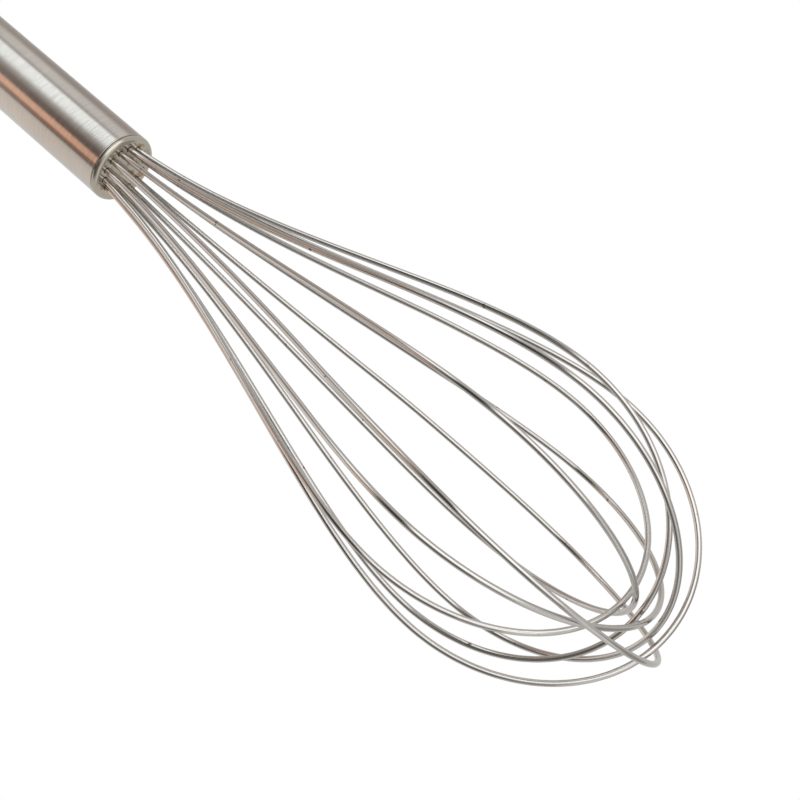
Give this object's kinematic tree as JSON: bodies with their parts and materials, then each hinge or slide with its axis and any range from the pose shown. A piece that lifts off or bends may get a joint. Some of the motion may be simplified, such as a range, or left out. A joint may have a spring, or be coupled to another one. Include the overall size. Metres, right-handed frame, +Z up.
{
  "type": "balloon whisk",
  "caption": "Hand whisk with a hollow steel handle, a balloon of separate nested wire loops held in a drilled front cap, and a swinging hang ring.",
  "frame": {"origin": "on the table under the middle of the whisk's box, as it lies on its side", "axes": "+X from the hang ring to the wire tips, +Z up from the table"},
  "size_m": [0.3318, 0.0754, 0.0694],
  "materials": {
    "satin_steel": "satin",
    "polished_steel": "polished",
    "spring_steel": "bright drawn wire",
    "plain_steel": "plain sheet",
    "cast_resin": "matt, cast"
  },
  "bodies": {
    "whisk": {"handle_tube": "satin_steel", "front_cap": "polished_steel", "sealing_plug": "cast_resin", "anchor_disc": "plain_steel", "rear_cap": "polished_steel", "wire_loop_1": "spring_steel", "wire_loop_2": "spring_steel", "wire_loop_3": "spring_steel", "wire_loop_4": "spring_steel", "wire_loop_5": "spring_steel", "wire_loop_6": "spring_steel", "wire_loop_7": "spring_steel"},
    "ring": {"hang_ring": "polished_steel"}
  },
  "joints": [
    {"name": "ring_swing", "type": "hinge", "parent": "whisk", "child": "ring", "pos_m": [-0.14424, -0.00059, 0.00919], "axis": [0, 1, 0], "range_deg": [-105, 135]}
  ]
}
